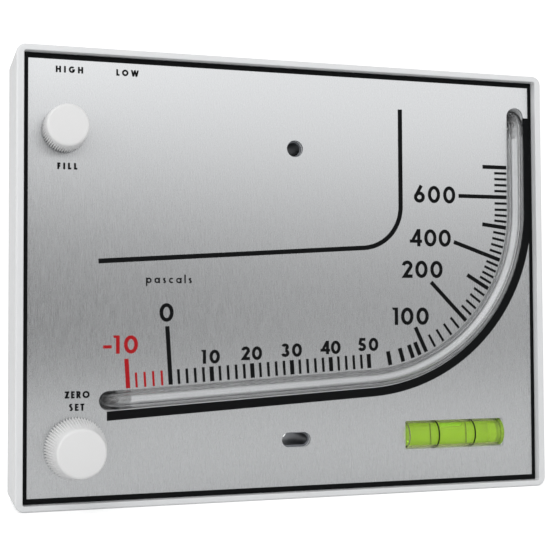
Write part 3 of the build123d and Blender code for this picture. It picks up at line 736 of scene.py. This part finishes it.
# Each label: name, text, centre X, base Z, height, width in millimetres, and stroke as a share of the plain stroke
BLACK_LABELS = (
    ("numeral_0", "0", -46.85, -15.2, 6.4, 4.9, 1.05),
    ("numeral_10", "10", -31.3, -29.8, 4.8, 6.7, 1.2),
    ("numeral_20", "20", -16.4, -28.8, 4.8, 7.6, 1.2),
    ("numeral_30", "30", -1.6, -27.9, 4.8, 7.7, 1.2),
    ("numeral_40", "40", 13.1, -27.1, 4.8, 7.7, 1.2),
    ("numeral_50", "50", 27.7, -26.2, 4.8, 7.8, 1.2),
    ("numeral_100", "100", 44.5, -16.8, 6.4, 14.6, 1.05),
    ("numeral_200", "200", 49.4, 0.5, 6.4, 16.4, 1.05),
    ("numeral_400", "400", 52.8, 12.2, 6.4, 16.6, 1.05),
    ("numeral_600", "600", 54.7, 28.4, 6.4, 16.8, 1.05),
    ("word_units", "pascals", -45.95, -1.9, 1.86, 16.1, 1.35),
    ("word_high", "HIGH", -80.2, 69.1, 2.2, 9.2, 1.45),
    ("word_low", "LOW", -60.4, 69.1, 2.2, 7.8, 1.45),
    ("word_fill", "FILL", -80.85, 36.3, 2.2, 6.7, 1.55),
    ("word_zero", "ZERO", -77.35, -40.7, 2.4, 8.3, 1.35),
    ("word_set", "SET", -77.55, -44.9, 2.4, 5.1, 1.3),
)
RED_LABELS = (
    ("minus_sign", "-", -67.25, -25.95, 6.2, 2.9, 1.0),
    ("numeral_minus_10", "10", -61.05, -25.95, 6.2, 8.5, 1.05),
)


# Operators, one for each piece or group of like pieces


class DressCase(Operator):
    """White moulding with smooth round edges, and the covers behind it"""

    bl_idname = "manometer.dress_case"
    bl_label = "Case and covers"

    def execute(self, context):
        settings = context.scene.manometer_case
        white = moulded_plastic("moulded_white", settings.white, roughness=0.26)
        cover_white = moulded_plastic("cover_white", settings.white, roughness=0.45)
        smooth_twin("housing", white, CASE_BODY, settings.sharp_angle)
        paint(("well_cover", "trap_cover"), cover_white)
        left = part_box("scale_plate")[0].x
        self.thread_port(settings, "high_port_thread", left + settings.high_port_inset, white)
        self.thread_port(settings, "low_port_thread", left + settings.low_port_inset, white)
        return {"FINISHED"}

    def thread_port(self, settings, name, x, material):
        """Tapped thread in a port: a wall from just inside the moulding to bore radius less depth times a wave.

        The wave climbs one pitch for each turn about the port's upright axis and fades out at both ends. The wall's
        outer side lies hidden in the moulding.
        """
        radius, pitch, rings_per_pitch = settings.port_bore / 2, settings.port_pitch, 8
        below_face, root_gap, hidden_depth = 0.3 * MM, 0.02 * MM, 0.1 * MM
        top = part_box("housing")[1].z - below_face
        height = np.linspace(top - settings.port_length, top, int(settings.port_length / pitch * rings_per_pitch))
        angles = full_turn(72)
        wave = 0.5 - 0.5 * np.cos(2 * np.pi * (height[:, None] / pitch - angles / (2 * np.pi)))
        fade = np.clip(np.minimum(height - height[0], top - height) / pitch, 0, 1)
        inner = radius + root_gap - settings.port_thread * wave * fade[:, None]
        outer = np.full((2, len(angles)), radius + hidden_depth)
        radii = np.vstack((inner, outer))
        heights = np.concatenate((height, (top, height[0])))
        y = -settings.port_depth
        points = points_at(x + radii * np.cos(angles), y + radii * np.sin(angles), heights[:, None])
        faces = grid_faces(len(heights), len(angles), True, True).tolist()
        piece = show(smooth_mesh(name, points, faces, material), CASE_BODY)
        close_and_crease(piece, ROUND_CREASE)


class DressPlate(Operator):
    """Brushed scale plate and the lines printed on it"""

    bl_idname = "manometer.dress_plate"
    bl_label = "Scale plate and marks"

    def execute(self, context):
        settings = context.scene.manometer_plate
        paint(("scale_plate",), brushed_sheet(settings))
        black = printed_ink("printed_black", settings.ink)
        paint(("border_and_band_print", "panel_line_print", "scale_marks"), black)
        paint(("negative_scale_marks",), printed_ink("printed_red", settings.red_ink))
        return {"FINISHED"}


class PrintLettering(Operator):
    """Numerals of the scale and the words beside the ports and knobs"""

    bl_idname = "manometer.print_lettering"
    bl_label = "Numerals and words"

    def execute(self, context):
        stroke = context.scene.manometer_plate.stroke
        for labels, ink, slot in (
            (BLACK_LABELS, "printed_black", "black_ink"), (RED_LABELS, "printed_red", "red_ink"),
        ):
            for name, text, x, z, height, width, share in labels:
                shapes = word_outlines(text, x, z, height, width, stroke * share)
                raised_print(name, shapes, bpy.data.materials[ink])
        return {"FINISHED"}


class DressKnobs(Operator):
    """Zero set knob and fill plug"""

    bl_idname = "manometer.dress_knobs"
    bl_label = "Knobs"

    def execute(self, context):
        settings = context.scene.manometer_case
        # Painted shade in the knobs' grooves: light on the zero knob, deep on the fill plug, where it stands in for the
        # shadow at its base
        zero_white = moulded_plastic("zero_knob_white", settings.knob_white, roughness=0.36, groove_shade=0.9)
        fill_white = moulded_plastic("fill_plug_white", settings.knob_white, roughness=0.36, groove_shade=0.25)
        natural = moulded_plastic("stem_white", (0.72, 0.72, 0.69), roughness=0.4)
        self.zero_knob(context.scene.manometer_knobs, zero_white, natural)
        self.fill_plug(context.scene.manometer_knobs, fill_white)
        return {"FINISHED"}

    def zero_knob(self, knobs, white, natural):
        """Knob on the displacer's stem, and the displacer with that stem."""
        low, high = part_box("zero_set_knob")
        centre = middle_of("zero_set_knob")
        cone = (high.x - low.x) / 2, knobs.zero_rim, knobs.zero_groove
        points = knurled_points(centre, *cone, knobs.zero_teeth, high.y, low.y, knobs.bevel)
        mesh = smooth_mesh("zero_set_knob_skin", *joined_grids(points), white)
        piece = show(mesh, "zero_knob", ("zero_set_knob",))
        close_and_crease(piece, TOOTH_CREASE)
        mark_grooves(piece, centre, *cone, high.y, low.y + knobs.bevel)
        smooth_twin("zero_displacer", natural, "zero_knob")

    def fill_plug(self, knobs, white):
        """Plug and its stem in one moulding, with the stem's front end hidden just inside the plug."""
        low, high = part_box("fill_plug")
        centre = middle_of("fill_plug")
        base_y = low.y + knobs.fill_knob_height
        cone = (high.x - low.x) / 2, knobs.fill_rim, knobs.fill_groove
        head = knurled_points(centre, *cone, knobs.fill_teeth, base_y, low.y, knobs.bevel)
        sunk = 0.3 * MM
        stem_front = base_y - sunk
        stem = threaded_points(centre, knobs.fill_stem_radius, knobs.thread, knobs.pitch, high.y, stem_front)
        mesh = smooth_mesh("fill_plug_skin", *joined_grids(head, stem), white)
        piece = show(mesh, "filler", ("fill_plug",))
        close_and_crease(piece, TOOTH_CREASE)
        mark_grooves(piece, centre, *cone, base_y, low.y + knobs.bevel)


class DrawTube(Operator):
    """Clear indicating tube: a round wall carried along slope, bend, rise and the two elbows"""

    bl_idname = "manometer.draw_tube"
    bl_label = "Indicating tube"

    def execute(self, context):
        settings = context.scene.manometer_tube
        places, headings, tilts = tube_path(settings)
        # Each ring is place + radius (across cos a + other sin a), and the bore's rings run back through the outer ones
        turn = full_turn(settings.sides)
        across = points_at(-np.sin(headings), 0.0, np.cos(headings))
        forward = points_at(np.cos(tilts) * np.cos(headings), np.sin(tilts), np.cos(tilts) * np.sin(headings))
        other = np.cross(forward, across)
        circle = across[:, None] * np.cos(turn)[:, None] + other[:, None] * np.sin(turn)[:, None]
        outer = places[:, None] + circle * settings.diameter / 2
        inner = places[:, None] + circle * settings.bore / 2
        points = np.vstack((outer, inner[::-1]))
        rows, columns = points.shape[:2]
        # The tube's sides get strong painted shade through edge
        clear = clear_plastic("clear_tube", (0.98, 0.985, 0.99), edge=0.22, clearness=0.97, ior=1.47, passing=0.8)
        mesh = smooth_mesh("indicator_tube_wall", points, grid_faces(rows, columns, True, True).tolist(), clear)
        close_and_crease(show(mesh, CASE_BODY, ("indicator_tube",)), ROUND_CREASE)
        return {"FINISHED"}


def tube_path(settings):
    """Centre line of the tube, worked out from its packed box.

    It is given as places, headings in the plate's plane and tilts to the wall. The slope rises at a set angle, the
    bend turns it upright about its centre, and each elbow turns it to the wall through a quarter circle.
    """
    low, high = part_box("indicator_tube")
    radius, bend, elbow, slope = settings.diameter / 2, settings.bend_radius, settings.elbow_radius, settings.slope
    depth_y = low.y + radius
    back_y = high.y
    rise_x = high.x - radius
    top_z = high.z - radius
    left_x = low.x + radius
    start_z = low.z + radius
    bend_x = rise_x - bend
    end_x = bend_x + bend * np.sin(slope)
    end_z = start_z + (end_x - left_x) * np.tan(slope)
    bend_z = end_z + bend * np.cos(slope)
    quarter = np.linspace(0, np.pi / 2, 13)
    first = points_at(
        left_x + elbow * (1 - np.cos(quarter)) * np.cos(slope),
        depth_y + elbow * (1 - np.sin(quarter)),
        start_z + elbow * (1 - np.cos(quarter)) * np.sin(slope),
    )
    turn = np.linspace(slope, np.pi / 2, 73)
    arc = points_at(bend_x + bend * np.sin(turn), depth_y, bend_z - bend * np.cos(turn))
    last = points_at(rise_x, depth_y + elbow * (1 - np.cos(quarter)), top_z - elbow * (1 - np.sin(quarter)))
    places = np.vstack(((left_x, back_y, start_z), first, arc, last, (rise_x, back_y, top_z)))
    headings = np.concatenate(((slope,), np.full(len(first), slope), turn, np.full(len(last) + 1, np.pi / 2)))
    tilts = np.concatenate(((-np.pi / 2,), quarter - np.pi / 2, np.zeros(len(turn)), quarter, (np.pi / 2,)))
    return places, headings, tilts


class DressVial(Operator):
    """Levelling vial with its liquid, end plug and rings"""

    bl_idname = "manometer.dress_vial"
    bl_label = "Levelling vial"

    def execute(self, context):
        settings = context.scene.manometer_vial
        # Shell and plug get a little painted shade at their edges, and the liquid a painted glow
        shell = clear_plastic("vial_plastic", (0.91, 0.985, 0.50), edge=0.92, clearness=0.97, ior=1.25, passing=0.9)
        plug = clear_plastic("vial_plug", (0.62, 0.90, 0.16), edge=0.8, clearness=0.75, ior=1.2, passing=0.9)
        smooth_twin("level_vial", shell, CASE_BODY)
        smooth_twin("level_vial_plug", plug, CASE_BODY)
        smooth_twin("level_vial_liquid", dyed_liquid(settings), CASE_BODY)
        smooth_twin("level_vial_rings", bpy.data.materials["printed_black"], CASE_BODY)
        return {"FINISHED"}


class DressFittings(Operator):
    """Screw sleeves, bushing, gasket and seals"""

    bl_idname = "manometer.dress_fittings"
    bl_label = "Fittings"

    def execute(self, context):
        # The sleeves are steel, and their dark colour also paints the shade deep in the screw holes
        sleeve = turned_metal("sleeve_steel", (0.23, 0.24, 0.26), roughness=0.45)
        brass = turned_metal("bushing_brass", (0.72, 0.55, 0.27), roughness=0.3)
        rubber = black_rubber()
        for node, body, material, slot in (
            ("hanging_sleeve", CASE_BODY, sleeve, "sleeve_steel"),
            ("levelling_sleeve", CASE_BODY, sleeve, "sleeve_steel"),
            ("zero_bushing", CASE_BODY, brass, "bushing_brass"),
            ("lower_tube_seal", CASE_BODY, rubber, "seal_rubber"),
            ("upper_tube_seal", CASE_BODY, rubber, "seal_rubber"),
            ("displacer_ring", "displacer_seal", rubber, "seal_rubber"),
            ("fill_gasket", "plug_gasket", rubber, "seal_rubber"),
        ):
            smooth_twin(node, material, body)
        return {"FINISHED"}


# The room that gloss sees at each side, as stops of height and grey level: 0 lies low in it, and 1 is overhead
ROOM_LEFT = (
    (0.0, 0.9), (0.25, 0.7), (0.37, 0.15), (0.446, 0.12), (0.544, 0.38), (0.62, 0.7), (0.70, 1.5), (0.80, 1.7),
    (1.0, 0.9),
)
ROOM_RIGHT = (
    (0.0, 0.9), (0.25, 0.70), (0.37, 0.42), (0.446, 0.42), (0.544, 0.72), (0.62, 1.2), (0.70, 1.2), (0.80, 1.2),
    (1.0, 0.8),
)


class BuildStudio(Operator):
    """Pale floor that curves up into a backdrop, soft lamps, an even world and the camera"""

    bl_idname = "manometer.build_studio"
    bl_label = "Studio"

    def execute(self, context):
        settings = context.scene.manometer_studio
        scene = context.scene
        scene.view_settings.view_transform = "Standard"
        self.floor(settings)
        self.lamp("key", (-0.50, -0.85, 0.80), size=(1.1, 0.6), power=settings.key_power)
        self.lamp("fill", (-0.95, -0.7, 0.02), size=(0.7, 0.9), power=settings.fill_power)
        self.world(scene, settings)
        self.camera(scene, settings)
        return {"FINISHED"}

    def floor(self, settings):
        """Floor and backdrop: a level line that turns up through a quarter circle, carried along X."""
        near, far, bend, height, half = -0.75, 1.2, 0.5, 3.0, 3.0
        quarter = np.linspace(0, np.pi / 2, 25)
        line_y = np.concatenate(((near,), far + bend * np.sin(quarter), (far + bend,)))
        line_z = np.concatenate(((0.0,), bend * (1 - np.cos(quarter)), (height,))) + FLOOR_Z
        points = np.stack([points_at(x, line_y, line_z) for x in (-half, half)], axis=1)
        finish = Finish("floor_paper", Roughness=0.9)
        finish.tint(settings.floor, finish.span(finish.noise(30), 0.99, 1.01))
        seen = finish.rays("Is Camera Ray", "Is Transmission Ray")
        finish.shader.inputs["Emission Color"].default_value = WHITE_LIGHT
        finish.feed("Emission Strength", finish.work_out("MULTIPLY", seen, settings.floor_glow))
        faces = grid_faces(len(line_y), 2, False, False)[:, ::-1].tolist()
        floor = bpy.data.objects.new("floor", smooth_mesh("floor", points, faces, finish.material))
        bpy.context.scene.collection.objects.link(floor)

    def lamp(self, name, place, size, power):
        """A rectangular area lamp at a place, turned to the origin."""
        data = bpy.data.lights.new(name, "AREA")
        data.shape = "RECTANGLE"
        data.size, data.size_y = size
        data.energy = power
        lamp = bpy.data.objects.new(name, data)
        lamp.location = place
        lamp.rotation_euler = (-Vector(place)).to_track_quat("-Z", "Y").to_euler()
        bpy.context.scene.collection.objects.link(lamp)

    def world(self, scene, settings):
        """Even light for matt surfaces, white behind, and for gloss a room that is bright above and dim ahead.

        The room is two rooms mixed from left to right, each a grey level that changes with height.
        """
        world = bpy.data.worlds.new("room")
        world.use_nodes = True
        scene.world = world
        world.node_tree.nodes.clear()
        room = Nodes(world.node_tree)
        direction = room.add("ShaderNodeTexCoord").outputs["Generated"]
        parts = room.add("ShaderNodeSeparateXYZ", {"Vector": direction}).outputs
        height = room.spread(parts["Z"], -0.35, 0.45, 0.0, 1.0)
        side = room.spread(parts["X"], 0.08, 0.30, 0.0, 1.0)
        left, right = (self.ramp(room, height, stops) for stops in (ROOM_LEFT, ROOM_RIGHT))
        # A colour mix has its two colours at sockets 6 and 7, and its result at 2
        mixed = room.add("ShaderNodeMix", data_type="RGBA", inputs={"Factor": side, 6: left, 7: right}).outputs[2]
        gloss = self.light(room, mixed, 1.0)
        even = self.light(room, WHITE_LIGHT, settings.ambient)
        white = self.light(room, WHITE_LIGHT, 1.0)
        is_gloss = room.add("ShaderNodeLightPath").outputs["Is Glossy Ray"]
        seen = room.rays("Is Camera Ray", "Is Transmission Ray")
        unseen = room.add("ShaderNodeMixShader", {"Fac": is_gloss, 1: even, 2: gloss}).outputs["Shader"]
        final = room.add("ShaderNodeMixShader", {"Fac": seen, 1: unseen, 2: white}).outputs["Shader"]
        room.add("ShaderNodeOutputWorld", {"Surface": final})

    def light(self, room, colour, strength):
        """Light of a colour that comes from all of the world."""
        return room.add("ShaderNodeBackground", {"Color": colour, "Strength": strength}).outputs["Background"]

    def ramp(self, room, source, stops):
        """A grey level that runs through stops of position and level."""
        node = room.add("ShaderNodeValToRGB", {"Fac": source})
        while len(node.color_ramp.elements) < len(stops):
            node.color_ramp.elements.new(0.5)
        for element, (position, level) in zip(node.color_ramp.elements, stops):
            element.position = position
            element.color = (level, level, level, 1.0)
        return node.outputs["Color"]

    def camera(self, scene, settings):
        """Camera turned by yaw about Z, then pitch about its right, then roll about its line of sight."""
        data = bpy.data.cameras.new("camera")
        data.sensor_width = 36.0
        data.lens = data.sensor_width * settings.focal_pixels / settings.picture_width
        data.clip_start, data.clip_end = 0.01, 20.0
        camera = bpy.data.objects.new("camera", data)
        turn = (
            Matrix.Rotation(settings.yaw, 3, "Z")
            @ Matrix.Rotation(settings.pitch, 3, "X")
            @ Matrix.Rotation(settings.roll, 3, "Y")
        )
        right, ahead, up = turn.col
        camera.matrix_world = Matrix.Translation(settings.eye) @ Matrix((right, up, -ahead)).transposed().to_4x4()
        scene.collection.objects.link(camera)
        scene.camera = camera


STEPS = (
    DressCase, DressPlate, PrintLettering, DressKnobs, DrawTube, DressVial, DressFittings, BuildStudio,
)


class ManometerPanel(Panel):
    """Lists the steps in the 3D view's sidebar"""

    bl_idname = "VIEW3D_PT_manometer"
    bl_label = "Manometer"
    bl_space_type = "VIEW_3D"
    bl_region_type = "UI"
    bl_category = "Manometer"

    def draw(self, context):
        for step in STEPS:
            self.layout.operator(step.bl_idname)


def register():
    """Adds the settings, the steps and the panel to Blender."""
    for group in (*SETTINGS.values(), *STEPS, ManometerPanel):
        bpy.utils.register_class(group)
    for name, group in SETTINGS.items():
        setattr(bpy.types.Scene, name, PointerProperty(type=group))


def unregister():
    """Takes them out again, last in first out."""
    for name in SETTINGS:
        delattr(bpy.types.Scene, name)
    for group in (ManometerPanel, *reversed(STEPS), *reversed(SETTINGS.values())):
        bpy.utils.unregister_class(group)


def main():
    register()
    for step in STEPS:
        family, name = step.bl_idname.split(".")
        getattr(getattr(bpy.ops, family), name)()


if __name__ == "__main__":
    main()
